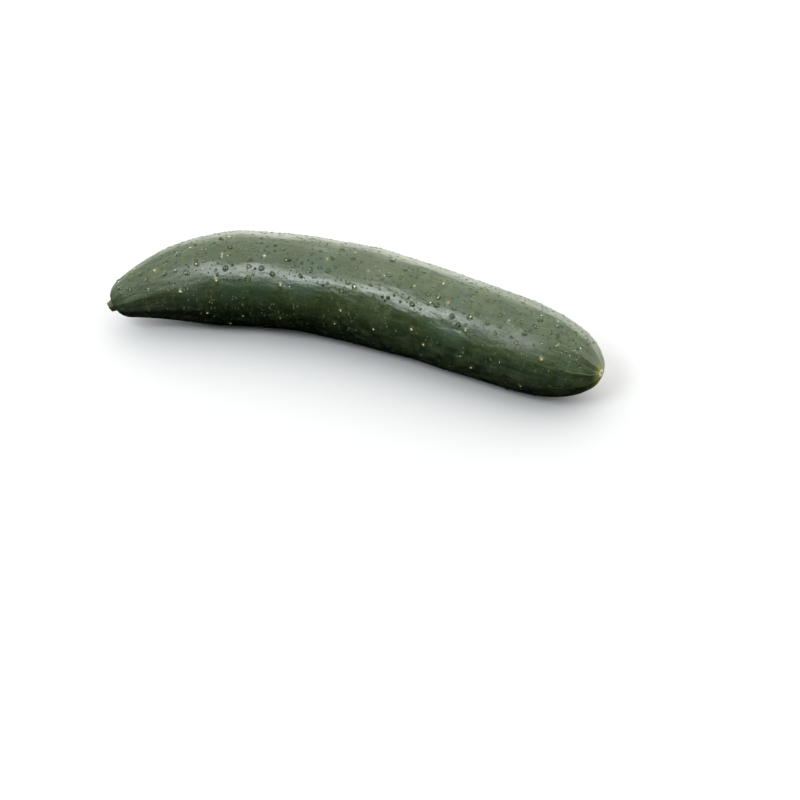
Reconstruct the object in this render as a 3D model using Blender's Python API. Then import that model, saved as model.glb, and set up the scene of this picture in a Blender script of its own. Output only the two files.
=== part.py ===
"""A whole slicing cucumber, as picked, lying on its side on a level surface.

Metres, +Z up. +X runs from the stem end to the blossom end, +Y is the outer side of its bend, and it
lies on z = 0. The origin is on that surface, under the middle of its bounding box. The fruit grew as
one piece, so it is one solid: the body with its ribs, the dried scars at both ends, and the warts.
"""

import math
import random

import bpy
import numpy as np
from mathutils import Matrix, Vector

MM = 0.001

# Driving dimensions of the body
LENGTH = 256.0 * MM  # along the bent axis, from stem end to blossom end
THICKNESS = 48.0 * MM  # across the thickest place
BEND = math.radians(61.8)  # how far the axis turns, most of it near the stem end
BEND_POWER = 3  # how closely the bend gathers at the stem end
THICKEST = 0.44  # where along the length the body is thickest
SLENDERING = 0.56  # how fast it grows thinner away from there

# How the ends close: the stem end narrows to a short neck with a domed end, the other end is an
# even, blunt dome
STEM_TAPER = 67.3 * MM
NECK_POWER = 1.9
NECK_RADIUS = 7.2 * MM
NECK_DOME = 6.0 * MM
BLOSSOM_TAPER = 72.3 * MM
BLOSSOM_POWER = 4.3

# Scars: the stem's short dried stub, and the small ring that the flower left
STUB_RADIUS = 2.8 * MM
STUB_HEIGHT = 2.4 * MM
STUB_HOLLOW = 0.5 * MM
STUB_GROOVE = 0.8 * MM
STUB_FOOT = 2.1 * MM  # beyond the stub's radius, where the skin begins
STUB_EDGE = 0.6 * MM
STUB_RIM = 0.8  # the rim of its hollow and its waist, as shares of its radius
STUB_WAIST = 0.94
RING_RADIUS = 1.6 * MM
RING_HEIGHT = 0.3 * MM
RING_CREST = 0.75  # its crest and its hollow, as shares of its radius
RING_HOLLOW = 0.35
# Both sit beside the axis: how far over the surface, towards which side, and within what radius
# the skin's rings follow them
STUB_ASIDE = 4.2 * MM
STUB_TOWARDS = math.radians(-56)
RING_ASIDE = 2.6 * MM
RING_TOWARDS = math.radians(125)
ASIDE_REACH = 13 * MM

# Relief of the body: the ribs stand highest where the ends close in to half the thickness
RIBS = 10
RIB_HEIGHT_MIDDLE = 0.07 * MM
RIB_HEIGHT_ENDS = 0.36 * MM
RIB_SHARPNESS = 1.6
LOBES = 3
LOBE_HEIGHT = 0.25 * MM
LOBE_TURN = 0.5
SWELL_TWIST = 1.7  # turns each swell's waves around the body, as a share of its phase
# Slow swells of the surface: height, length along the body, waves around it, phase
SWELLS = (
    (0.26 * MM, 83 * MM, 2, 0.6),
    (0.18 * MM, 47 * MM, 1, 2.1),
    (0.11 * MM, 31 * MM, 3, 4.0),
)

# Warts, which stand in loose rows along the ribs
WART_SEED = 11
WART_RADIUS = 1.2 * MM
WART_HEIGHT = 0.45 * MM
WART_SIDES = 8
WART_SIZES = (0.75, 1.25)
WART_GAP = (17 * MM, 40 * MM)
WART_SPREAD = 0.34  # sideways from the rib, as a share of the ribs' spacing
WARTS_FROM = 16 * MM  # from the stem end
WARTS_TO = LENGTH - 20 * MM
WART_CLEARANCE = 2.5 * MM  # above the surface that the cucumber lies on

# How it lies still: its weight leans it onto three low places, which flatten a little
LEAN = math.radians(9)
PITCH = math.radians(-0.5)
SINK = 0.35 * MM

# Fineness of the mesh
RINGS = 50
SIDES = 50
AXIS_STEPS = 800

SKIN_COLOUR = (0.035, 0.085, 0.03, 1.0)
SKIN_ROUGHNESS = 0.38


def clear_scene():
    for thing in list(bpy.data.objects):
        bpy.data.objects.remove(thing, do_unlink=True)


def radius(s):
    """The body's plain radius at the distance s along its axis."""
    full = THICKNESS / 2
    neck = full - (full - NECK_RADIUS) * np.clip(1 - s / STEM_TAPER, 0, 1) ** NECK_POWER
    dome = np.sqrt(1 - np.clip(1 - s / NECK_DOME, 0, 1) ** 2)
    blossom = np.sqrt(1 - np.clip(1 - (LENGTH - s) / BLOSSOM_TAPER, 0, 1) ** BLOSSOM_POWER)
    spindle = 1 - SLENDERING * (s / LENGTH - THICKEST) ** 2
    return neck * dome * blossom * spindle


def axis_line():
    """Distances along the axis, with the axis's points and headings in the plane of the bend."""
    s = np.linspace(0, LENGTH, AXIS_STEPS + 1)
    heading = BEND * (1 - s / LENGTH) ** BEND_POWER
    middle = (heading[1:] + heading[:-1]) / 2
    step = LENGTH / AXIS_STEPS
    x = np.concatenate([[0], np.cumsum(np.cos(middle) * step)])
    y = np.concatenate([[0], np.cumsum(np.sin(middle) * step)])
    chord = math.atan2(y[-1], x[-1])
    x, y = (
        x * math.cos(chord) + y * math.sin(chord),
        y * math.cos(chord) - x * math.sin(chord),
    )
    return s, x - x[-1] / 2, y, heading - chord


AXIS = axis_line()


def relief(s, theta):
    """How far the skin stands off the plain radius: ribs, a faint three-sided section, slow swells."""
    share = radius(s) / (THICKNESS / 2)
    rib = (0.5 + 0.5 * np.cos(RIBS * theta)) ** RIB_SHARPNESS
    rib_height = RIB_HEIGHT_MIDDLE * share + RIB_HEIGHT_ENDS * 4 * share * np.clip(1 - share, 0, 1)
    out = rib_height * rib + LOBE_HEIGHT * share * np.cos(LOBES * theta + LOBE_TURN)
    for height, length, waves, phase in SWELLS:
        along = np.sin(2 * math.pi * s / length + phase)
        out = out + height * share * along * np.cos(waves * theta + SWELL_TWIST * phase)
    return out


def reach(r, from_stem=True):
    """The axis distance at which the closing end has the radius r."""
    s = np.linspace(0, LENGTH / 4, AXIS_STEPS + 1)
    if from_stem:
        return np.interp(r, radius(s), s)
    return LENGTH - np.interp(r, radius(LENGTH - s), s)


def off_centre(s, r, theta):
    """Slides the rings near both ends sideways over the surface, so the scars sit beside the axis."""
    from_stem = s < LENGTH / 2
    aside = np.where(from_stem, STUB_ASIDE, RING_ASIDE) * np.clip(1 - r / ASIDE_REACH, 0, 1) ** 2
    towards = np.where(from_stem, STUB_TOWARDS, RING_TOWARDS)
    across = r * np.cos(theta) + aside * np.cos(towards)
    up = r * np.sin(theta) + aside * np.sin(towards)
    slid = np.hypot(across, up)
    stem_s, blossom_s = reach(slid) - reach(r), reach(slid, False) - reach(r, False)
    moves = slid != r
    s = s + np.where(moves, np.where(from_stem, stem_s, blossom_s), 0)
    return s, slid, np.arctan2(up, across)


def placed(s, r, theta):
    """The point at axis distance s and radius r, theta turned up from the outer side of the bend."""
    s, r, theta = off_centre(s, r, theta)
    along, axis_x, axis_y, headings = AXIS
    inside = np.clip(s, 0, LENGTH)
    heading = np.interp(inside, along, headings)
    beyond = s - inside
    side = r * np.cos(theta)
    x = np.interp(inside, along, axis_x) + beyond * np.cos(heading) - side * np.sin(heading)
    y = np.interp(inside, along, axis_y) + beyond * np.sin(heading) + side * np.cos(heading)
    z = r * np.sin(theta)
    y, z = y * math.cos(LEAN) - z * math.sin(LEAN), y * math.sin(LEAN) + z * math.cos(LEAN)
    x, z = x * math.cos(PITCH) + z * math.sin(PITCH), z * math.cos(PITCH) - x * math.sin(PITCH)
    return np.stack([x, y, z], -1)


def skin(s, theta):
    return placed(s, radius(s) + relief(s, theta), theta)


def stem_rings():
    """(axis distance, radius) of the rings of the stem's stub, from its hollow middle outwards."""
    foot = reach(STUB_RADIUS + STUB_GROOVE)
    top = foot - STUB_HEIGHT
    return [
        (top + STUB_HOLLOW, 0.0),
        (top + STUB_HOLLOW / 2, STUB_RADIUS / 2),
        (top, STUB_RIM * STUB_RADIUS),
        (top + STUB_EDGE, STUB_RADIUS),
        (foot + STUB_EDGE, STUB_WAIST * STUB_RADIUS),
        (foot + STUB_EDGE, STUB_RADIUS + STUB_GROOVE),
    ]


def blossom_rings():
    """(axis distance, radius) of the flower's scar, from its rim's foot to its hollow middle."""
    foot = reach(RING_RADIUS, from_stem=False)
    crest = (foot + RING_HEIGHT, RING_CREST * RING_RADIUS)
    return [(foot, RING_RADIUS), crest, (foot, RING_HOLLOW * RING_RADIUS), (foot, 0.0)]


def body_stations():
    """Axis distances of the body's rings, evenly spaced along its outline."""
    first = reach(STUB_RADIUS + STUB_FOOT)
    last = reach(2 * RING_RADIUS, from_stem=False)
    s = first + (last - first) * (1 - np.cos(np.linspace(0, math.pi, AXIS_STEPS + 1))) / 2
    run = np.concatenate([[0], np.cumsum(np.hypot(np.diff(s), np.diff(radius(s))))])
    return np.interp(np.linspace(0, run[-1], RINGS), run, s)


def body_points():
    """The points of every ring, and the two middles that close the ends."""
    theta = np.linspace(0, 2 * math.pi, SIDES + 1)[:-1]
    stem, blossom = stem_rings(), blossom_rings()
    rings = [placed(np.full(SIDES, s), np.full(SIDES, r), theta) for s, r in stem[1:]]
    rings += [skin(np.full(SIDES, s), theta) for s in body_stations()]
    rings += [placed(np.full(SIDES, s), np.full(SIDES, r), theta) for s, r in blossom[:-1]]
    ends = [placed(*stem[0], 0.0), placed(*blossom[-1], 0.0)]
    return np.array(rings), np.array(ends)


def on_the_surface(points, low, middle):
    """Points moved over the origin and down to z = 0, with what would sink in flattened."""
    moved = points - np.array([middle[0], middle[1], low + SINK])
    moved[..., 2] = np.maximum(moved[..., 2], 0.0)
    return moved


def body_faces(rings):
    faces = []
    for ring in range(rings - 1):
        for side in range(SIDES):
            after = (side + 1) % SIDES
            here, there = ring * SIDES, (ring + 1) * SIDES
            faces.append((here + after, here + side, there + side, there + after))
    stem_middle, blossom_middle = rings * SIDES, rings * SIDES + 1
    last = (rings - 1) * SIDES
    for side in range(SIDES):
        after = (side + 1) % SIDES
        faces.append((stem_middle, side, after))
        faces.append((blossom_middle, last + after, last + side))
    return faces


def skin_material():
    material = bpy.data.materials.new("cucumber_skin")
    material.use_nodes = True
    shader = material.node_tree.nodes["Principled BSDF"]
    shader.inputs["Base Color"].default_value = SKIN_COLOUR
    shader.inputs["Roughness"].default_value = SKIN_ROUGHNESS
    shader.inputs["Metallic"].default_value = 0.0
    return material


def wart_mesh():
    """A low dome of radius 1 and height 1 with a root of depth 1 below its base."""
    rings = ((-1.0, 0.75), (0.0, 1.0), (0.65, 0.66))
    points = []
    for height, wide in rings:
        for side in range(WART_SIDES):
            turn = 2 * math.pi * side / WART_SIDES
            points.append((wide * math.cos(turn), wide * math.sin(turn), height))
    top = len(points)
    points.append((0.0, 0.0, 1.0))
    faces = [tuple(reversed(range(WART_SIDES)))]
    for side in range(WART_SIDES):
        after = (side + 1) % WART_SIDES
        for ring in range(len(rings) - 1):
            here, there = ring * WART_SIDES, (ring + 1) * WART_SIDES
            faces.append((here + side, here + after, there + after, there + side))
        last = (len(rings) - 1) * WART_SIDES
        faces.append((last + side, last + after, top))
    mesh = bpy.data.meshes.new("wart")
    mesh.from_pydata(points, [], faces)
    return mesh


def wart_places():
    """(axis distance, angle, size) of each wart, in loose rows along the ribs."""
    draw = random.Random(WART_SEED)
    places = []
    for rib in range(RIBS):
        s = WARTS_FROM + draw.uniform(0, WART_GAP[1])
        while s < WARTS_TO:
            theta = 2 * math.pi * (rib + draw.uniform(-WART_SPREAD, WART_SPREAD)) / RIBS
            places.append((s, theta, draw.uniform(*WART_SIZES)))
            s += draw.uniform(*WART_GAP)
    return places


def wart_frame(s, theta):
    """The skin's point at (s, theta) and its outward direction."""
    step = 0.5 * MM
    turn = step / float(radius(s))
    point = skin(s, theta)
    along = skin(s + step, theta) - skin(s - step, theta)
    around = skin(s, theta + turn) - skin(s, theta - turn)
    outward = np.cross(around, along)
    return point, outward / np.linalg.norm(outward)


def add_warts(low, middle):
    """A collection of domes, one for each wart that stays clear of the surface below."""
    collection = bpy.data.collections.new("warts")
    bpy.context.scene.collection.children.link(collection)
    mesh = wart_mesh()
    for s, theta, size in wart_places():
        point, outward = wart_frame(s, theta)
        point = point - np.array([middle[0], middle[1], low + SINK])
        if point[2] < WART_CLEARANCE:
            continue
        wart = bpy.data.objects.new("wart", mesh)
        turn = Vector(outward).to_track_quat("Z", "Y").to_matrix().to_4x4()
        scale = Matrix.Diagonal((WART_RADIUS * size, WART_RADIUS * size, WART_HEIGHT * size, 1))
        wart.matrix_world = Matrix.Translation(Vector(point)) @ turn @ scale
        collection.objects.link(wart)
    return collection


def fuse(body, collection):
    """Joins the warts to the body as one solid, and removes their separate objects."""
    union = body.modifiers.new("warts", "BOOLEAN")
    union.operation = "UNION"
    union.operand_type = "COLLECTION"
    union.collection = collection
    union.solver = "EXACT"
    graph = bpy.context.evaluated_depsgraph_get()
    joined = bpy.data.meshes.new_from_object(body.evaluated_get(graph))
    body.modifiers.clear()
    body.data = joined
    for wart in list(collection.objects):
        bpy.data.objects.remove(wart, do_unlink=True)
    bpy.data.collections.remove(collection)


def make_cucumber():
    rings, ends = body_points()
    everything = np.concatenate([rings.reshape(-1, 3), ends])
    low = everything[:, 2].min()
    middle = (everything.min(0) + everything.max(0)) / 2
    points = on_the_surface(everything, low, middle)
    mesh = bpy.data.meshes.new("cucumber")
    mesh.from_pydata(points.tolist(), [], body_faces(len(rings)))
    body = bpy.data.objects.new("cucumber", mesh)
    bpy.context.scene.collection.objects.link(body)
    bpy.context.view_layer.update()
    fuse(body, add_warts(low, middle))
    body.data.materials.clear()
    body.data.materials.append(skin_material())
    body.data.shade_smooth()
    return body


clear_scene()
make_cucumber()
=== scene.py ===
"""Looks of a whole slicing cucumber, wet with small drops of water, on a pale floor in soft light."""

import math
import random

import bpy
import numpy as np
from mathutils import Matrix, Vector


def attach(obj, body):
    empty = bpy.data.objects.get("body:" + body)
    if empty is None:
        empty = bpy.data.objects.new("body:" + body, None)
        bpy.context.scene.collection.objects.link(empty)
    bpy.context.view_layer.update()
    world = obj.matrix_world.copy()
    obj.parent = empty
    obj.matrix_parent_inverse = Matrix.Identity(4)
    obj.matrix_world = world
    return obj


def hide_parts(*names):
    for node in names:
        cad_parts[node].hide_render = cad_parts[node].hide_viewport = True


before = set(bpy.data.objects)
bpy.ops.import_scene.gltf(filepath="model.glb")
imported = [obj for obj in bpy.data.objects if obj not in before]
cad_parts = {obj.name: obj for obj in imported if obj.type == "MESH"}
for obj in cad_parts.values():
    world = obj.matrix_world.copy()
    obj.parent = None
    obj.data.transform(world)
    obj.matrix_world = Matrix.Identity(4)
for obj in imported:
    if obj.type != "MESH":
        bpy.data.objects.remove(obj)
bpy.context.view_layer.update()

MM = 0.001
NODE = "cucumber"

# The body's dimensions, as in the model
LENGTH = 256.0 * MM
THICKNESS = 48.0 * MM
BEND = math.radians(61.8)
BEND_POWER = 3
THICKEST = 0.44
SLENDERING = 0.56
STEM_TAPER = 67.3 * MM
NECK_POWER = 1.9
NECK_RADIUS = 7.2 * MM
NECK_DOME = 6.0 * MM
BLOSSOM_TAPER = 72.3 * MM
BLOSSOM_POWER = 4.3
STUB_RADIUS = 2.8 * MM
STUB_HEIGHT = 2.4 * MM
STUB_HOLLOW = 0.5 * MM
STUB_GROOVE = 0.8 * MM
STUB_FOOT = 2.1 * MM
RING_RADIUS = 1.6 * MM
RING_HEIGHT = 0.3 * MM
STUB_ASIDE = 4.2 * MM
STUB_TOWARDS = math.radians(-56)
RING_ASIDE = 2.6 * MM
RING_TOWARDS = math.radians(125)
ASIDE_REACH = 13 * MM
RIBS = 10
RIB_HEIGHT_MIDDLE = 0.07 * MM
RIB_HEIGHT_ENDS = 0.36 * MM
RIB_SHARPNESS = 1.6
LOBES = 3
LOBE_HEIGHT = 0.25 * MM
LOBE_TURN = 0.5
SWELL_TWIST = 1.7
SWELLS = (  # height, length along the body, number around it, phase
    (0.26 * MM, 83 * MM, 2, 0.6),
    (0.18 * MM, 47 * MM, 1, 2.1),
    (0.11 * MM, 31 * MM, 3, 4.0),
)
WART_SEED = 11
WART_RADIUS = 1.2 * MM
WART_HEIGHT = 0.45 * MM
WART_SIZES = (0.75, 1.25)
WART_GAP = (17 * MM, 40 * MM)
WART_SPREAD = 0.34
WARTS_FROM = 16 * MM
WARTS_TO = LENGTH - 20 * MM
WART_CLEARANCE = 2.5 * MM
LEAN = math.radians(9)
PITCH = math.radians(-0.5)
SINK = 0.35 * MM
AXIS_STEPS = 800

# Finer shapes of the two scars. Pairs are where a part starts and ends, in shares of the stub's radius
STUB_EDGE_WAVES = ((0.04, 5, 0.4), (0.03, 3, 0.0))  # share of the radius, number around, phase
STUB_HOLLOW_EDGE = (0.25, 0.8)
STUB_RAY_HEIGHT = 0.12 * MM
STUB_RAYS = 9
STUB_RAY_FADE = (0.3, 0.6)
STUB_WALL = (0.86, 1.08)
GROOVE_DEPTH = 0.35 * MM
GROOVE_ASIDE = 0.8 * STUB_GROOVE
INNERMOST = 0.05  # the share of a scar's radius that its middle point closes
RIM_AT = 0.75 * RING_RADIUS
RIM_WIDTH = 0.4 * RING_RADIUS
DENT_WIDTH = 0.35 * RING_RADIUS

# The form of a wart, with widths as shares of its radius
WART_FOOT = 1.15
WART_ROUNDNESS = 1.3
WART_TINT_WIDTH = 1.1
WART_REACH = 4 * WART_RADIUS
TIP_SIDES = 10
TIP_RINGS = 3
TIP_STAND = 0.35
TIP_ROOT = 0.3
TIP_SUNK = 0.03 * MM
TIP_RADII = (0.32 * MM, 0.62 * MM)
TIP_WOBBLE = 0.2

# Shallow waves that run along the skin and break up its sheen
WAVE_SEED = 3
WAVES = 12
WAVE_HEIGHT = 0.048 * MM
WAVE_PACE = 12.6  # radians over one radius of the body
WAVE_STRETCH = 4.2  # the body's whole length in the same measure, shorter than true to draw them out

# Fineness of the skin's mesh
RINGS = 478
SIDES = 196
STUB_RINGS = 14
SCAR_RINGS = 8

# Water drops: how many are tried, their radii, and how much they stand up
DROP_SEED = 5
DROP_TRIES = 5200
DROP_RADII = (0.34 * MM, 1.6 * MM)
DROP_FALL_OFF = 2.1
DROP_ALONG = (6 * MM, LENGTH - 8 * MM)
DROP_WOBBLE = 0.26
DROP_STAND = 0.54
DROP_ROOT = 0.12
DROP_HEIGHT = 1.12
DROP_FLATTER = 0.25  # how much less the largest stand up
DROP_GAP = 0.25 * MM
WART_GAP_TO_DROP = 0.7 * MM
DROPS_BELOW = 0.10  # the share of them that stays on the lower sides
DROPS_THIN_OUT = (0.3, 0.85)  # upward lean of the skin between few and all drops
LARGE_DROP = 2 * DROP_RADII[0]
LARGE_DROPS_UP = 0.5  # the least upward lean of the skin under a large drop
LARGE_DROPS_BACK = 0.15  # and its greatest lean away from the front
DROP_CLEARANCE = 3  # in drop radii, to the floor and to the body's thin ends
PHASES = 6  # the range from which the phase of an uneven outline is drawn
DROP_SIDES = 12
DROP_RINGS = 4
# A patch of fine droplets near the blossom end, where the sheen is grainy
MIST_TRIES = 420
MIST_RADII = (0.20 * MM, 0.32 * MM)
MIST_ALONG = (0.63 * LENGTH, 0.86 * LENGTH)
MIST_AROUND = (math.radians(106), math.radians(140))

# The photograph's view: the direction to the camera, its distance, and where it aims
VIEW_AZIMUTH = math.radians(12.86)
VIEW_ELEVATION = math.radians(42)
VIEW_DISTANCE = 0.9
VIEW_RIGHT = 23.5 * MM
VIEW_DOWN = 29.6 * MM
SENSOR = 36.0
PIXELS = 800
PIXELS_PER_METRE = 2067
CLIP_START = 0.01

# The studio: how far the floor reaches, and the light from all round
FLOOR_REACH = 12.0
# Brightness of the sky at angles from the horizon behind, up over the top, to the one in front
SKY = ((0, 2.4), (8, 2.2), (20, 1.35), (100, 1.2), (118, 0.9), (140, 0.15), (180, 0.05))
SKY_COLOUR = (1.0, 1.0, 0.94, 1)
SKY_HORIZON = 50  # degrees over which it darkens below the horizon behind
# Lamps: azimuth and elevation in degrees, distance, size, power and colour
FRONT_SOFTBOX = (-30, 49, 1.4, (0.62, 0.52), 7.5, (0.93, 1.0, 1.0))
SPARK_LAMP = (-30, 62, 1.6, (0.12, 0.12), 200, (1.0, 0.96, 0.93))


def radius(s):
    """The body's plain radius at the distance s along its axis."""
    full = THICKNESS / 2
    neck = full - (full - NECK_RADIUS) * np.clip(1 - s / STEM_TAPER, 0, 1) ** NECK_POWER
    dome = np.sqrt(1 - np.clip(1 - s / NECK_DOME, 0, 1) ** 2)
    blossom = np.sqrt(1 - np.clip(1 - (LENGTH - s) / BLOSSOM_TAPER, 0, 1) ** BLOSSOM_POWER)
    spindle = 1 - SLENDERING * (s / LENGTH - THICKEST) ** 2
    return neck * dome * blossom * spindle


def axis_line():
    """Distances along the axis, with the axis's points and headings in the plane of the bend."""
    s = np.linspace(0, LENGTH, AXIS_STEPS + 1)
    heading = BEND * (1 - s / LENGTH) ** BEND_POWER
    middle = (heading[1:] + heading[:-1]) / 2
    step = LENGTH / AXIS_STEPS
    x = np.concatenate([[0], np.cumsum(np.cos(middle) * step)])
    y = np.concatenate([[0], np.cumsum(np.sin(middle) * step)])
    chord = math.atan2(y[-1], x[-1])
    x, y = (
        x * math.cos(chord) + y * math.sin(chord),
        y * math.cos(chord) - x * math.sin(chord),
    )
    return s, x - x[-1] / 2, y, heading - chord


AXIS = axis_line()


def relief(s, theta):
    """How far the skin stands off the plain radius: ribs, a faint three-sided section, slow swells."""
    share = radius(s) / (THICKNESS / 2)
    rib = (0.5 + 0.5 * np.cos(RIBS * theta)) ** RIB_SHARPNESS
    rib_height = RIB_HEIGHT_MIDDLE * share + RIB_HEIGHT_ENDS * 4 * share * np.clip(1 - share, 0, 1)
    out = rib_height * rib + LOBE_HEIGHT * share * np.cos(LOBES * theta + LOBE_TURN)
    for height, length, waves, phase in SWELLS:
        along = np.sin(2 * math.pi * s / length + phase)
        out = out + height * share * along * np.cos(waves * theta + SWELL_TWIST * phase)
    return out


def draw_waves():
    """The direction and phase of each shallow wave."""
    draw = random.Random(WAVE_SEED)
    waves = []
    for _ in range(WAVES):
        way = np.array([draw.gauss(0, 1) for _ in range(3)])
        waves.append((*(way / np.linalg.norm(way) * WAVE_PACE), draw.uniform(0, 2 * math.pi)))
    return waves


SKIN_WAVES = draw_waves()


def undulation(s, theta):
    """The shallow waves' height, which fades towards both ends."""
    out = 0 * s * theta
    for across, up, along, phase in SKIN_WAVES:
        turn = across * np.cos(theta) + up * np.sin(theta)
        out = out + np.sin(turn + along * WAVE_STRETCH * s / LENGTH + phase)
    return WAVE_HEIGHT * radius(s) / (THICKNESS / 2) * out


END_DEPTHS = np.linspace(0, LENGTH / 4, AXIS_STEPS + 1)
STEM_RADII = radius(END_DEPTHS)
BLOSSOM_RADII = radius(LENGTH - END_DEPTHS)


def reach(r, from_stem=True):
    """The axis distance at which the closing end has the radius r."""
    if from_stem:
        return np.interp(r, STEM_RADII, END_DEPTHS)
    return LENGTH - np.interp(r, BLOSSOM_RADII, END_DEPTHS)


def off_centre(s, r, theta):
    """Slides the rings near both ends sideways over the surface, so the scars sit beside the axis."""
    from_stem = s < LENGTH / 2
    aside = np.where(from_stem, STUB_ASIDE, RING_ASIDE) * np.clip(1 - r / ASIDE_REACH, 0, 1) ** 2
    towards = np.where(from_stem, STUB_TOWARDS, RING_TOWARDS)
    across = r * np.cos(theta) + aside * np.cos(towards)
    up = r * np.sin(theta) + aside * np.sin(towards)
    slid = np.hypot(across, up)
    stem_s, blossom_s = reach(slid) - reach(r), reach(slid, False) - reach(r, False)
    moves = slid != r
    s = s + np.where(moves, np.where(from_stem, stem_s, blossom_s), 0)
    return s, slid, np.arctan2(up, across)


def placed(s, r, theta):
    """The point at axis distance s and radius r, theta turned up from the outer side of the bend."""
    s, r, theta = off_centre(s, r, theta)
    along, axis_x, axis_y, headings = AXIS
    inside = np.clip(s, 0, LENGTH)
    heading = np.interp(inside, along, headings)
    beyond = s - inside
    side = r * np.cos(theta)
    x = np.interp(inside, along, axis_x) + beyond * np.cos(heading) - side * np.sin(heading)
    y = np.interp(inside, along, axis_y) + beyond * np.sin(heading) + side * np.cos(heading)
    z = r * np.sin(theta)
    y, z = y * math.cos(LEAN) - z * math.sin(LEAN), y * math.sin(LEAN) + z * math.cos(LEAN)
    x, z = x * math.cos(PITCH) + z * math.sin(PITCH), z * math.cos(PITCH) - x * math.sin(PITCH)
    return np.stack([x, y, z], -1)


def skin_radius(s, theta):
    return radius(s) + relief(s, theta) + undulation(s, theta)


def skin(s, theta):
    return placed(s, skin_radius(s, theta), theta)


def body_stations(count, first, last):
    """Axis distances from first to last, evenly spaced along the body's outline."""
    s = first + (last - first) * (1 - np.cos(np.linspace(0, math.pi, 4 * AXIS_STEPS + 1))) / 2
    run = np.concatenate([[0], np.cumsum(np.hypot(np.diff(s), np.diff(radius(s))))])
    return np.interp(np.linspace(0, run[-1], count), run, s)


def smooth(value, start, end):
    """0 before start and 1 after end, with a soft step between."""
    t = np.clip((value - start) / (end - start), 0, 1)
    return t * t * (3 - 2 * t)


def resting_place():
    """The middle and the lowest height of the body before it is laid on the floor."""
    theta = np.linspace(0, 2 * math.pi, SIDES + 1)[:-1]
    s = body_stations(RINGS, reach(STUB_RADIUS), reach(RING_RADIUS, from_stem=False))
    s, theta = s[:, None], theta[None, :]
    points = placed(s, radius(s) + relief(s, theta), theta).reshape(-1, 3)
    middle = (points.min(0) + points.max(0)) / 2
    return np.array([middle[0], middle[1], points[:, 2].min() + SINK])


REST = resting_place()


def wart_places():
    """(axis distance, angle, size) of each wart, in loose rows along the ribs."""
    draw = random.Random(WART_SEED)
    places = []
    for rib in range(RIBS):
        s = WARTS_FROM + draw.uniform(0, WART_GAP[1])
        while s < WARTS_TO:
            theta = 2 * math.pi * (rib + draw.uniform(-WART_SPREAD, WART_SPREAD)) / RIBS
            places.append((s, theta, draw.uniform(*WART_SIZES)))
            s += draw.uniform(*WART_GAP)
    return places


def surface_frame(s, theta):
    """The skin's points at (s, theta), resting on the floor, and their outward directions."""
    step = 0.5 * MM
    turn = step / radius(s)
    point = skin(s, theta) - REST
    along = skin(s + step, theta) - skin(s - step, theta)
    around = skin(s, theta + turn) - skin(s, theta - turn)
    outward = np.cross(around, along)
    return point, outward / np.linalg.norm(outward, axis=-1, keepdims=True)


def standing_warts():
    """(point, outward direction, size) of the warts that stay clear of the floor."""
    warts = []
    for s, theta, size in wart_places():
        point, outward = surface_frame(s, theta)
        if point[2] >= WART_CLEARANCE:
            warts.append((point, outward, size))
    return warts


WARTS = standing_warts()


def new_mesh(name, points, faces, uses=None):
    """An object from points and faces, each face a row of point numbers."""
    mesh = bpy.data.meshes.new(name)
    mesh.from_pydata(np.asarray(points).tolist(), [], faces)
    mesh.shade_smooth()
    piece = bpy.data.objects.new(name, mesh)
    bpy.context.scene.collection.objects.link(piece)
    for key, values in (uses or {}).items():
        kind = "FLOAT_VECTOR" if np.ndim(values) == 2 else "FLOAT"
        layer = mesh.attributes.new(key, kind, "POINT")
        field = "vector" if kind == "FLOAT_VECTOR" else "value"
        layer.data.foreach_set(field, np.asarray(values, np.float32).ravel())
    return piece


def stub_grid(theta):
    """Axis distances and radii of the stem's stub, from its hollow middle to the foot on the neck."""
    outer = STUB_RADIUS + STUB_FOOT
    r = np.linspace(INNERMOST, 1, STUB_RINGS) * outer
    r, theta = r[:, None] + 0 * theta[None, :], theta[None, :]
    neck = reach(r)
    edge = STUB_RADIUS * (1 + sum(a * np.cos(n * theta + phase) for a, n, phase in STUB_EDGE_WAVES))
    top = reach(STUB_RADIUS + STUB_GROOVE) - STUB_HEIGHT
    hollow = STUB_HOLLOW * (1 - smooth(r / edge, *STUB_HOLLOW_EDGE))
    rays = STUB_RAY_HEIGHT * np.cos(STUB_RAYS * theta) * smooth(r / edge, *STUB_RAY_FADE)
    groove = GROOVE_DEPTH * np.exp(-(((r - edge - GROOVE_ASIDE) / GROOVE_ASIDE) ** 2))
    on_stub = 1 - smooth(r / edge, *STUB_WALL)
    s = (top + hollow + rays) * on_stub + (neck + groove) * (1 - on_stub)
    return s, r + relief(neck, theta) * smooth(r, edge, outer)


def scar_grid(theta):
    """Axis distances and radii of the flower's scar, from the skin around it to its hollow middle."""
    outer = 2 * RING_RADIUS
    r = np.linspace(1, INNERMOST, SCAR_RINGS) * outer
    r, theta = r[:, None] + 0 * theta[None, :], theta[None, :]
    tip = reach(r, from_stem=False)
    rim = RING_HEIGHT * np.exp(-(((r - RIM_AT) / RIM_WIDTH) ** 2))
    dent = RING_HEIGHT * np.exp(-((r / DENT_WIDTH) ** 2))
    return tip + rim - dent, r + relief(tip, theta) * smooth(r, RING_RADIUS, outer)


def wart_lift(points):
    """How far each point is lifted by the warts, and how near it is to one, from 0 to 1."""
    lift, near = np.zeros(len(points)), np.zeros(len(points))
    for place, outward, size in WARTS:
        offset = points - place
        height = offset @ outward
        across = np.sqrt(np.maximum((offset**2).sum(1) - height**2, 0)) / (WART_RADIUS * size)
        close = np.abs(height) < WART_REACH
        mound = np.where(close, np.clip(1 - (across / WART_FOOT) ** 2, 0, 1) ** WART_ROUNDNESS, 0)
        lift = np.maximum(lift, WART_HEIGHT * size * mound)
        near = np.maximum(near, np.where(close, np.exp(-((across / WART_TINT_WIDTH) ** 2)), 0))
    return lift, near


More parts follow.
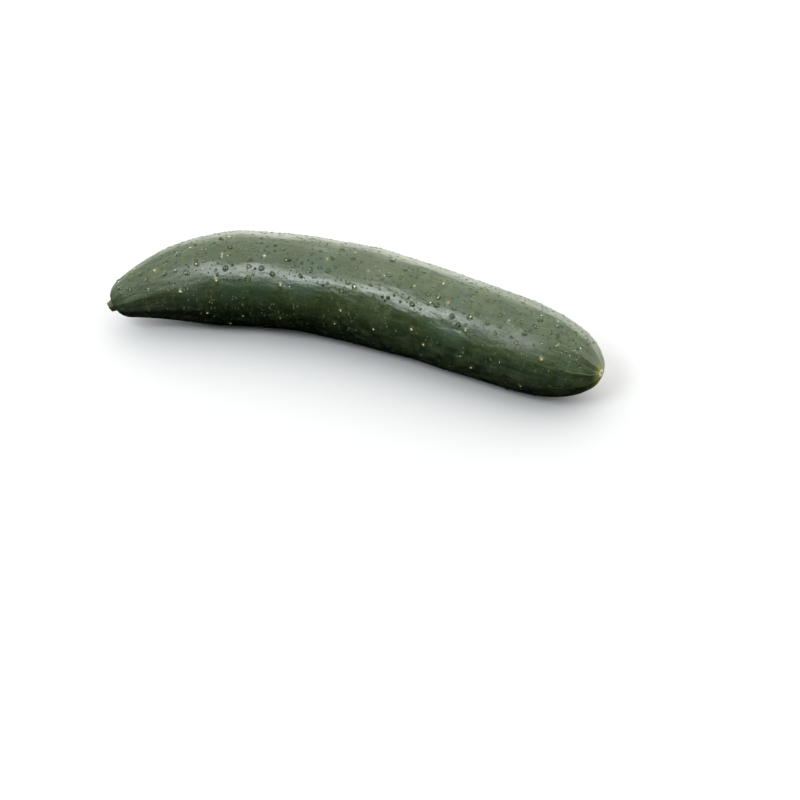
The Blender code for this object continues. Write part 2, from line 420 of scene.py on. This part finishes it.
def grid_faces(rings, sides):
    """The faces of a tube of rings, closed by a middle point at each end."""
    faces = []
    for ring in range(rings - 1):
        for side in range(sides):
            after = (side + 1) % sides
            here, there = ring * sides, (ring + 1) * sides
            faces.append((here + side, here + after, there + after, there + side))
    first, last, start = rings * sides, rings * sides + 1, (rings - 1) * sides
    for side in range(sides):
        after = (side + 1) % sides
        faces.append((first, after, side))
        faces.append((last, start + side, start + after))
    return faces


def make_skin():
    theta = np.linspace(0, 2 * math.pi, SIDES + 1)[:-1]
    stem_s, stem_r = stub_grid(theta)
    scar_s, scar_r = scar_grid(theta)
    first = float(reach(STUB_RADIUS + STUB_FOOT))
    last = float(reach(2 * RING_RADIUS, from_stem=False))
    body_s = body_stations(RINGS, first, last)[1:-1, None] + 0 * theta[None, :]
    body_r = skin_radius(body_s, theta[None, :])
    s = np.concatenate([stem_s, body_s, scar_s])
    r = np.concatenate([stem_r, body_r, scar_r])
    turn = np.broadcast_to(theta, s.shape)
    points = placed(s, r, turn).reshape(-1, 3)
    ends = np.array([placed(stem_s[0, 0], 0.0, 0.0), placed(scar_s[-1, 0], 0.0, 0.0)])
    grid = np.concatenate([points, ends]) - REST
    lift, near = wart_lift(grid)
    rings = points.reshape(len(s), SIDES, 3)
    along = np.gradient(rings, axis=0)
    around = np.roll(rings, -1, 1) - np.roll(rings, 1, 1)
    outward = np.cross(around, along)
    outward /= np.linalg.norm(outward, axis=-1, keepdims=True)
    grid[: len(points)] += lift[: len(points), None] * outward.reshape(-1, 3)
    grid[:, 2] = np.maximum(grid[:, 2], 0.0)
    around_axis = np.stack([np.cos(turn), np.sin(turn), s / LENGTH], -1).reshape(-1, 3)
    uses = {
        "grown": np.concatenate([around_axis, [[1, 0, 0], [1, 0, 1]]]),
        "along_mm": np.concatenate([s.ravel(), [s[0, 0], s[-1, 0]]]) / MM,
        "girth_mm": np.concatenate([r.ravel(), [0, 0]]) / MM,
        "near_wart": near,
    }
    return new_mesh("skin", grid, grid_faces(len(s), SIDES), uses)


def dome(rings, sides, stand, root):
    """A closed low dome of radius 1, from its flat foot, root deep, to its top, stand high."""
    points, faces = [], []
    opening = 2 * math.atan(stand)
    sphere = 1 / math.sin(opening)
    levels = [(1.0, -root)]
    for ring in range(rings):
        lift = opening * (1 - ring / rings)
        levels.append((sphere * math.sin(lift), sphere * (math.cos(lift) - math.cos(opening))))
    for wide, height in levels:
        for side in range(sides):
            turn = 2 * math.pi * side / sides
            points.append((wide * math.cos(turn), wide * math.sin(turn), height))
    points.append((0, 0, stand))
    last, top = rings * sides, len(points) - 1
    for ring in range(rings):
        for side in range(sides):
            after = (side + 1) % sides
            here, there = ring * sides, (ring + 1) * sides
            faces.append((here + side, here + after, there + after, there + side))
    for side in range(sides):
        after = (side + 1) % sides
        faces.append((last + side, last + after, top))
    faces.append(tuple(reversed(range(sides))))
    return np.array(points, float), faces


def scatter(name, places, shape, faces):
    """One mesh of many copies of a shape, each (point, outward, radius, height, wobble, turn)."""
    points, all_faces = [], []
    for point, outward, size, height, wobble, turn in places:
        angle = np.arctan2(shape[:, 1], shape[:, 0])
        wide = size * (1 + wobble * np.cos(2 * angle + turn) + 0.5 * wobble * np.cos(3 * angle))
        local = np.stack([shape[:, 0] * wide, shape[:, 1] * wide, shape[:, 2] * height], 1)
        to_world = np.array(Vector(outward).to_track_quat("Z", "Y").to_matrix())
        base = len(points) * len(shape)
        points.append(local @ to_world.T + point)
        all_faces += [tuple(base + corner for corner in face) for face in faces]
    return new_mesh(name, np.concatenate(points), all_faces)


def drop_places():
    """Drops over the upper sides, with fewer lower down, none touching another or a wart's tip."""
    draw = random.Random(DROP_SEED)
    low, high = DROP_RADII
    tries = []
    for _ in range(DROP_TRIES):
        s, theta = draw.uniform(*DROP_ALONG), draw.uniform(0, 2 * math.pi)
        size = min(low * (1 - draw.random()) ** (-1 / DROP_FALL_OFF), high)
        chance, wobble = draw.random(), draw.uniform(0, DROP_WOBBLE)
        tries.append((size, s, theta, chance, wobble, draw.uniform(0, PHASES)))
    for _ in range(MIST_TRIES):
        s, theta, size = draw.uniform(*MIST_ALONG), draw.uniform(*MIST_AROUND), draw.uniform(*MIST_RADII)
        tries.append((size, s, theta, 0, draw.uniform(0, DROP_WOBBLE), draw.uniform(0, PHASES)))
    size, s, theta, chance, wobble, turn = np.array(sorted(tries, reverse=True)).T
    points, outwards = surface_frame(s, theta)
    back, up = outwards[:, 1], outwards[:, 2]
    fits = chance < DROPS_BELOW + smooth(up, *DROPS_THIN_OUT)
    fits &= ((up > LARGE_DROPS_UP) & (back < LARGE_DROPS_BACK)) | (size < LARGE_DROP)
    fits &= np.minimum(points[:, 2], radius(s)) > DROP_CLEARANCE * size
    for place, _, _ in WARTS:
        fits &= np.linalg.norm(points - place, axis=1) > size + WART_GAP_TO_DROP
    chosen = []
    for k in np.flatnonzero(fits):
        apart = np.linalg.norm(points[chosen] - points[k], axis=1)
        if (apart > size[chosen] + size[k] + DROP_GAP).all():
            chosen.append(k)
    height = size * (DROP_HEIGHT - DROP_FLATTER * size / high)
    return [(points[k], outwards[k], size[k], height[k], wobble[k], turn[k]) for k in chosen]


def make_drops():
    shape, faces = dome(DROP_RINGS, DROP_SIDES, DROP_STAND, DROP_ROOT)
    return scatter("water_drops", drop_places(), shape, faces)


def make_wart_tips():
    """The pale dried tip on each wart."""
    draw = random.Random(WART_SEED + 1)
    shape, faces = dome(TIP_RINGS, TIP_SIDES, TIP_STAND, TIP_ROOT)
    places = []
    for point, outward, size in WARTS:
        tip = point + outward * (WART_HEIGHT * size - TIP_SUNK)
        wide = draw.uniform(*TIP_RADII)
        wobble, turn = draw.uniform(0, TIP_WOBBLE), draw.uniform(0, PHASES)
        places.append((tip, outward, wide, wide, wobble, turn))
    return scatter("wart_tips", places, shape, faces)


class Nodes:
    """Short ways to add nodes to a material or the world. A value is a number, a colour or an output."""

    def __init__(self, owner):
        owner.use_nodes = True
        self.owner = owner
        self.tree = owner.node_tree
        self.shader = self.tree.nodes.get("Principled BSDF")

    def set(self, socket, value):
        if isinstance(value, bpy.types.NodeSocket):
            self.tree.links.new(value, socket)
        else:
            socket.default_value = value

    def add(self, kind, inputs=(), **settings):
        node = self.tree.nodes.new(kind)
        for key, value in settings.items():
            setattr(node, key, value)
        for key, value in dict(inputs).items():
            self.set(node.inputs[key], value)
        return node

    def math(self, operation, a, b=0.0):
        return self.add("ShaderNodeMath", {0: a, 1: b}, operation=operation).outputs[0]

    def step(self, value, start, end):
        """0 at start and 1 at end, with a soft step between; start may be above end."""
        low, high = min(start, end), max(start, end)
        inputs = {"Value": value, "From Min": low, "From Max": high}
        node = self.add("ShaderNodeMapRange", inputs, interpolation_type="SMOOTHSTEP")
        if start > end:
            node.inputs["To Min"].default_value = 1.0
            node.inputs["To Max"].default_value = 0.0
        return node.outputs["Result"]

    def mix(self, share, a, b):
        node = self.add("ShaderNodeMix", data_type="RGBA")
        self.set(node.inputs["Factor"], share)
        self.set(node.inputs[6], a)
        self.set(node.inputs[7], b)
        return node.outputs[2]

    def noise(self, vector, scale, detail=2.0, rough=0.5):
        inputs = {"Vector": vector, "Scale": scale, "Detail": detail, "Roughness": rough}
        return self.add("ShaderNodeTexNoise", inputs).outputs["Fac"]

    def patches(self, vector, pattern):
        """Soft patches from 0 to 1: a step over a noise of the pattern's scale, detail and roughness."""
        scale, detail, rough, start, end = pattern
        return self.step(self.noise(vector, scale, detail, rough), start, end)

    def product(self, *values):
        out = values[0]
        for value in values[1:]:
            out = self.math("MULTIPLY", out, value)
        return out

    def cover(self, colour, layer, *shares):
        """The colour under a layer that covers as much of it as the product of the shares."""
        return self.mix(self.product(*shares), colour, layer)

    def scaled(self, vector, along):
        """The skin's own vector with its last part, the distance along the body, multiplied."""
        factors = (1.0, 1.0, along)
        return self.add("ShaderNodeVectorMath", {0: vector, 1: factors}, operation="MULTIPLY").outputs[0]

    def bump(self, height, distance, under=None):
        inputs = {"Height": height, "Strength": 1.0, "Distance": distance}
        if under:
            inputs["Normal"] = under
        return self.add("ShaderNodeBump", inputs).outputs[0]

    def value_of(self, name):
        return self.add("ShaderNodeAttribute", attribute_name=name).outputs["Fac"]

    def vector_of(self, name):
        return self.add("ShaderNodeAttribute", attribute_name=name).outputs["Vector"]

    def place(self):
        return self.add("ShaderNodeTexCoord").outputs["Object"]


# Near black towards the stem end: partly the skin's own deeper green there, partly painted shade.
STEM_GREEN_AND_SHADE = (0.005, 0.010, 0.005, 1)
DEEP_GREEN = (0.015, 0.027, 0.015, 1)
MIDDLE_GREEN = (0.062, 0.093, 0.048, 1)
# Greener and lighter on the upper side: partly the skin's own tone, partly painted light.
UPPER_GREEN_AND_LIGHT = (0.066, 0.118, 0.034, 1)
OLIVE_GREEN = (0.072, 0.112, 0.030, 1)
PALE_GREEN = (0.108, 0.158, 0.056, 1)
# Grey on the upper side: partly the skin's wax bloom, partly painted sheen.
BLOOM_AND_SHEEN_GREY = (0.066, 0.112, 0.080, 1)
STREAK_OLIVE = (0.130, 0.150, 0.050, 1)
LINE_GREEN = (0.240, 0.290, 0.110, 1)
TIP_YELLOW = (0.400, 0.430, 0.090, 1)
SCAR_CREAM = (1.000, 0.980, 0.800, 1)
SCAR_DARK = (0.480, 0.430, 0.270, 1)
HALO_YELLOW = (0.240, 0.220, 0.060, 1)
FLECK_PALE = (0.400, 0.400, 0.230, 1)
CORK = (0.150, 0.150, 0.060, 1)
CORK_DARK = (0.050, 0.055, 0.020, 1)
TIP_CREAM = (0.880, 0.860, 0.680, 1)
TIP_TAN = (0.740, 0.560, 0.260, 1)
# The water's dark grey-green tint is painted shade: it darkens the skin seen through each drop.
WATER_SHADE_TINT = (0.250, 0.290, 0.230, 1)
FLOOR_WHITES = (0.850, 0.850, 0.890, 1), (0.880, 0.880, 0.920, 1)
BLACK = (0, 0, 0, 1)
WHITE = (1, 1, 1, 1)

# Patterns of the skin: a noise's scale, detail and roughness, and where a step over it starts and ends
MOTTLE = (130, 4, 0.65, 0.38, 0.62)
OLIVE_PATCHES = (260, 3, 0.6, 0.48, 0.68)
STREAKS = (4, 3, 0.6, 0.52, 0.68)
STREAK_GROUPS = (60, 1, 0.5, 0.44, 0.58)
STREAK_BREAKS = (620, 2, 0.5, 0.40, 0.54)
PALE_DOTS = (700, 3, 0.6, 0.50, 0.72)
BLOOM_AND_SHEEN_PATCHES = (36, 2, 0.5, 0.42, 0.66)
SHADED_GROOVE_GROUPS = (1.2, 1, 0.5, 0.36, 0.60)
LINE_BREAKS = (420, 2, 0.5, 0.30, 0.52)
HALO_TONES = (22, 1, 0.5, 0.50, 0.60)
FLECK_GROUPS = (1.9, 1, 0.5, 0.51, 0.58)
FLECK_BREAKS = (900, 2, 0.5, 0.30, 0.55)
TIP_TONES = (40, 1, 0.5, 0.35, 0.65)

# Where the tones fade in, from the first value to the second: distances in mm, or parts of the section
STEM_SIDE = (195, 90)
UPPER_SIDE = (-0.1, 0.8)
SHADED_GROOVES = (0.36, 0.46)  # from a rib's crest at 0 to the groove at 0.5, where shade is painted
SHADED_GROOVES_FROM_TIP = (130, 80)
LINE_WIDTH = (0.40, 0.10)
LINES_FROM_TIP = (30, 6)
PALER_FROM_TIP = (34, 4)
FLECK_SIZE = (0.38, 0.16)
FLECKS_CHOSEN = (0.2, 0.35)
FLECKS_BELOW = (1.3, 0.2)
FLECKS_IN_FRONT = (0.6, -0.3)
GLOW_GIRTH, GLOW_FROM_TIP = (7.6, 1.8), (14, 6)
SCAR_GIRTH, SCAR_FROM_TIP = (2.2, 1.75), (3.0, 2.0)
SCAR_MIDDLE = (0.55, 0.3)
STUB_FROM_END = (6.0, 4.0)
STUB_RIM_GIRTH = (5.4, 4.2)
STUB_GIRTH = (3.5, 3.1)

# How much of the skin under it each tone covers
COVER = {
    "stem": 0.82, "upper": 0.55, "olive": 0.40, "streak": 0.85, "dots": 0.25, "bloom_and_sheen": 0.55,
    "groove": 0.5, "paler": 0.12, "line": 0.85, "halo": 0.5, "stub_rim": 0.8,
}
AROUND_STRETCH = 55.0  # multiplies the way along the body, so streaks run around it
FLECK_STRETCH = 22.0  # the same for flecks
FLECK_SCALE = 10.0
LINE_WANDER_SCALE = 160
LINE_WANDER = 0.3
CORK_GRAIN = (1500, 3, 0.7)
FLOOR_CLOUDS = (6, 2)

# Gloss and relief of the skin
ROUGHNESS = 0.21
ROUGHNESS_SPREAD = 0.20
ROUGHNESS_SCALE = 240
ROUGHER_BLOSSOM, BLOSSOM_ROUGH = 0.13, (LENGTH / MM - 80, LENGTH / MM - 42)
ROUGHER_STEM, STEM_ROUGH = 0.30, (62, 20)
RIPPLE, RIPPLE_HEIGHT = (6.5, 2), 0.42 * MM
GRAIN, GRAIN_HEIGHT = (1100, 3, 0.6), 0.045 * MM


def green_skin(n, place, around, along, upper):
    """The body's mottled green: darker towards the stem end, partly painted shade; greener and lighter
    on top, partly painted light; and a grey waxy film on top, partly painted sheen.
    """
    colour = n.mix(n.patches(place, MOTTLE), DEEP_GREEN, MIDDLE_GREEN)
    # Darker towards the stem end: partly the skin's deeper green, partly painted shade.
    colour = n.cover(colour, STEM_GREEN_AND_SHADE, n.step(along, *STEM_SIDE), COVER["stem"])
    # The upper side made greener and lighter: partly the skin's tone, partly painted light.
    colour = n.cover(colour, UPPER_GREEN_AND_LIGHT, upper, COVER["upper"])
    colour = n.cover(colour, OLIVE_GREEN, n.patches(place, OLIVE_PATCHES), COVER["olive"])
    streak = n.product(n.patches(around, STREAKS), n.patches(place, STREAK_GROUPS))
    colour = n.cover(colour, STREAK_OLIVE, streak, n.patches(place, STREAK_BREAKS), COVER["streak"])
    colour = n.cover(colour, PALE_GREEN, n.patches(place, PALE_DOTS), COVER["dots"])
    # A grey layer on the upper side only: partly wax bloom, partly painted sheen.
    return n.cover(colour, BLOOM_AND_SHEEN_GREY, n.patches(place, BLOOM_AND_SHEEN_PATCHES), upper, COVER["bloom_and_sheen"])


def ribbed_tip(n, colour, place, around, parts, girth, to_tip):
    """Painted shade in the grooves, and pale lines along the ribs, which show towards the blossom end.
    """
    turn = n.math("ARCTAN2", parts.outputs["Y"], parts.outputs["X"])
    wander = n.math("MULTIPLY_ADD", n.noise(place, LINE_WANDER_SCALE, 2), LINE_WANDER)
    wander.node.inputs[2].default_value = -LINE_WANDER / 2
    share = n.math("ADD", n.math("MULTIPLY", turn, RIBS / (2 * math.pi)), wander)
    apart = n.math("PINGPONG", share, 0.5)
    apart_mm = n.product(apart, girth, 2 * math.pi / RIBS)
    # Painted shade in the grooves between the ribs, towards the blossom end.
    groove = n.product(n.step(apart, *SHADED_GROOVES), n.step(to_tip, *SHADED_GROOVES_FROM_TIP))
    colour = n.cover(colour, DEEP_GREEN, groove, n.patches(around, SHADED_GROOVE_GROUPS), COVER["groove"])
    line = n.product(n.step(apart_mm, *LINE_WIDTH), n.step(to_tip, *LINES_FROM_TIP))
    colour = n.cover(colour, PALE_GREEN, n.step(to_tip, *PALER_FROM_TIP), COVER["paler"])
    return n.cover(colour, LINE_GREEN, line, n.patches(place, LINE_BREAKS), COVER["line"])


def flecks(n, place, grown, around, parts, upper):
    """Where small pale flecks lie: on the lower front, in short rows across the body."""
    cells_at = {"Vector": n.scaled(grown, FLECK_STRETCH), "Scale": FLECK_SCALE}
    cells = n.add("ShaderNodeTexVoronoi", cells_at)
    chance = n.add("ShaderNodeSeparateColor", {0: cells.outputs["Color"]}).outputs["Red"]
    return n.product(
        n.step(cells.outputs["Distance"], *FLECK_SIZE),
        n.step(chance, *FLECKS_CHOSEN),
        n.patches(around, FLECK_GROUPS),
        n.step(upper, *FLECKS_BELOW),
        n.step(parts.outputs["X"], *FLECKS_IN_FRONT),
        n.patches(place, FLECK_BREAKS),
    )


def both_scars(n, colour, place, along, girth, to_tip):
    """The flower's cream scar in its yellow glow, and the stem's cork stub with its dark rim."""
    glow = n.product(n.step(girth, *GLOW_GIRTH), n.step(to_tip, *GLOW_FROM_TIP))
    colour = n.mix(glow, colour, TIP_YELLOW)
    at_tip = n.step(to_tip, *SCAR_FROM_TIP)
    colour = n.cover(colour, SCAR_CREAM, n.step(girth, *SCAR_GIRTH), at_tip)
    colour = n.cover(colour, SCAR_DARK, n.step(girth, *SCAR_MIDDLE), at_tip)
    at_stem = n.step(along, *STUB_FROM_END)
    colour = n.cover(colour, CORK_DARK, n.step(girth, *STUB_RIM_GIRTH), at_stem, COVER["stub_rim"])
    cork = n.mix(n.noise(place, *CORK_GRAIN), CORK_DARK, CORK)
    return n.cover(colour, cork, n.step(girth, *STUB_GIRTH), at_stem)


def skin_colour(n, place, grown):
    """Mottled green, paler and lined towards the blossom end, with flecks and the two scars."""
    along, girth = n.value_of("along_mm"), n.value_of("girth_mm")
    to_tip = n.math("SUBTRACT", LENGTH / MM, along)
    parts = n.add("ShaderNodeSeparateXYZ", {0: grown})
    upper = n.step(parts.outputs["Y"], *UPPER_SIDE)
    around = n.scaled(grown, AROUND_STRETCH)
    colour = green_skin(n, place, around, along, upper)
    colour = ribbed_tip(n, colour, place, around, parts, girth, to_tip)
    halo = n.mix(n.patches(place, HALO_TONES), PALE_GREEN, HALO_YELLOW)
    colour = n.cover(colour, halo, n.value_of("near_wart"), COVER["halo"])
    colour = n.mix(flecks(n, place, grown, around, parts, upper), colour, FLECK_PALE)
    return both_scars(n, colour, place, along, girth, to_tip)


def skin_material():
    n = Nodes(bpy.data.materials.new("cucumber_skin_wet"))
    place, grown, along = n.place(), n.vector_of("grown"), n.value_of("along_mm")
    n.set(n.shader.inputs["Base Color"], skin_colour(n, place, grown))
    rough = n.math("MULTIPLY_ADD", n.noise(place, ROUGHNESS_SCALE, 3), ROUGHNESS_SPREAD)
    rough.node.inputs[2].default_value = ROUGHNESS
    at_blossom = n.product(n.step(along, *BLOSSOM_ROUGH), ROUGHER_BLOSSOM)
    at_stem = n.product(n.step(along, *STEM_ROUGH), ROUGHER_STEM)
    n.set(n.shader.inputs["Roughness"], n.math("ADD", rough, n.math("ADD", at_blossom, at_stem)))
    n.shader.inputs["Specular IOR Level"].default_value = 0.8
    n.shader.inputs["Coat Weight"].default_value = 0.12
    n.shader.inputs["Coat Roughness"].default_value = 0.15
    ripple = n.bump(n.noise(n.scaled(grown, WAVE_STRETCH), *RIPPLE), RIPPLE_HEIGHT)
    n.set(n.shader.inputs["Normal"], n.bump(n.noise(place, *GRAIN), GRAIN_HEIGHT, ripple))
    return n.owner


def water_material():
    n = Nodes(bpy.data.materials.new("water"))
    # A dark tint: painted shade inside each drop.
    n.shader.inputs["Base Color"].default_value = WATER_SHADE_TINT
    n.shader.inputs["Roughness"].default_value = 0.0
    n.shader.inputs["IOR"].default_value = 1.33
    n.shader.inputs["Transmission Weight"].default_value = 1.0
    n.shader.inputs["Coat Weight"].default_value = 0.28
    n.shader.inputs["Coat Roughness"].default_value = 0.08
    return n.owner


def tip_material():
    n = Nodes(bpy.data.materials.new("wart_tip"))
    tone = n.patches(n.place(), TIP_TONES)
    n.set(n.shader.inputs["Base Color"], n.mix(tone, TIP_CREAM, TIP_TAN))
    n.shader.inputs["Roughness"].default_value = 0.55
    return n.owner


def dress(piece, material):
    piece.data.materials.append(material)
    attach(piece, "root")
    return piece


def floor_material():
    n = Nodes(bpy.data.materials.new("pale_floor"))
    n.set(n.shader.inputs["Base Color"], n.mix(n.noise(n.place(), *FLOOR_CLOUDS), *FLOOR_WHITES))
    n.shader.inputs["Roughness"].default_value = 0.8
    return n.owner


def wall_material():
    n = Nodes(bpy.data.materials.new("pale_wall"))
    n.shader.inputs["Base Color"].default_value = BLACK
    n.shader.inputs["Emission Color"].default_value = WHITE
    n.shader.inputs["Emission Strength"].default_value = 1.0
    return n.owner


def make_floor():
    """A wide floor, and far round it a pale wall that only the camera sees."""
    corners = [(-1, -1, 0), (1, -1, 0), (1, 1, 0), (-1, 1, 0)]
    floor = new_mesh("floor", np.array(corners) * FLOOR_REACH, [(0, 1, 2, 3)])
    floor.data.materials.append(floor_material())
    floor.visible_diffuse = False
    floor.visible_glossy = False
    floor.visible_shadow = False
    low = np.array(corners, float) * FLOOR_REACH
    high = low + np.array([0, 0, 2 * FLOOR_REACH])
    faces = [(k, (k + 1) % 4, 4 + (k + 1) % 4, 4 + k) for k in range(4)]
    wall = new_mesh("backdrop", np.concatenate([low, high]), faces)
    wall.data.materials.append(wall_material())
    for sight in ("diffuse", "glossy", "transmission", "shadow"):
        setattr(wall, "visible_" + sight, False)


def direction(azimuth, elevation):
    """From the middle, azimuth 0 towards the front and turning to the right."""
    flat = math.cos(elevation)
    return Vector((math.sin(azimuth) * flat, -math.cos(azimuth) * flat, math.sin(elevation)))


def view_axes():
    """The camera's right, up and back directions."""
    back = direction(VIEW_AZIMUTH, VIEW_ELEVATION)
    right = Vector((math.cos(VIEW_AZIMUTH), math.sin(VIEW_AZIMUTH), 0))
    return right, back.cross(right), back


def make_camera():
    right, up, back = view_axes()
    data = bpy.data.cameras.new("camera")
    data.sensor_width = SENSOR
    data.lens = SENSOR * PIXELS_PER_METRE * VIEW_DISTANCE / PIXELS
    data.clip_start = CLIP_START
    camera = bpy.data.objects.new("camera", data)
    place = back * VIEW_DISTANCE + right * VIEW_RIGHT - up * VIEW_DOWN - Vector(REST)
    turn = Matrix((right, up, back)).transposed().to_4x4()
    camera.matrix_world = Matrix.Translation(place) @ turn
    bpy.context.scene.collection.objects.link(camera)
    bpy.context.scene.camera = camera


def softbox(name, azimuth, elevation, distance, size, power, colour, only=None):
    """An area light in the given direction from the middle, facing it; it may light one piece only."""
    way = direction(math.radians(azimuth), math.radians(elevation))
    data = bpy.data.lights.new(name, "AREA")
    data.shape = "RECTANGLE"
    data.size, data.size_y = size
    data.energy = power
    data.color = colour
    light = bpy.data.objects.new(name, data)
    turn = way.to_track_quat("Z", "Y").to_matrix().to_4x4()
    light.matrix_world = Matrix.Translation(way * distance) @ turn
    bpy.context.scene.collection.objects.link(light)
    light.visible_transmission = False
    if only:
        lit = bpy.data.collections.new(name + "_lights")
        lit.objects.link(only)
        light.light_linking.receiver_collection = lit


def make_world():
    """A white studio overhead and behind the cucumber, dim in front, and dark under the floor."""
    world = bpy.data.worlds.new("studio")
    n = Nodes(world)
    way = n.add("ShaderNodeSeparateXYZ", {0: n.add("ShaderNodeTexCoord").outputs["Generated"]})
    angle = n.math("ARCTAN2", way.outputs["Z"], way.outputs["Y"])
    angle = n.math("MULTIPLY", angle, 180 / math.pi)
    bright = SKY[0][1]
    for (start, before), (end, after) in zip(SKY, SKY[1:]):
        change = n.math("MULTIPLY", n.step(angle, start, end), after - before)
        bright = n.math("ADD", change, bright)
    above = n.step(angle, -SKY_HORIZON, 0)
    background = n.tree.nodes["Background"]
    background.inputs["Color"].default_value = SKY_COLOUR
    n.set(background.inputs["Strength"], n.math("MULTIPLY", bright, above))
    bpy.context.scene.world = world


def make_light(drops):
    make_world()
    softbox("front_softbox", *FRONT_SOFTBOX)
    softbox("spark_lamp", *SPARK_LAMP, only=drops)
    bpy.context.scene.view_settings.view_transform = "Standard"


skin_piece = dress(make_skin(), skin_material())
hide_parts(NODE)
dress(make_wart_tips(), tip_material())
water = dress(make_drops(), water_material())
make_floor()
make_light(water)
make_camera()
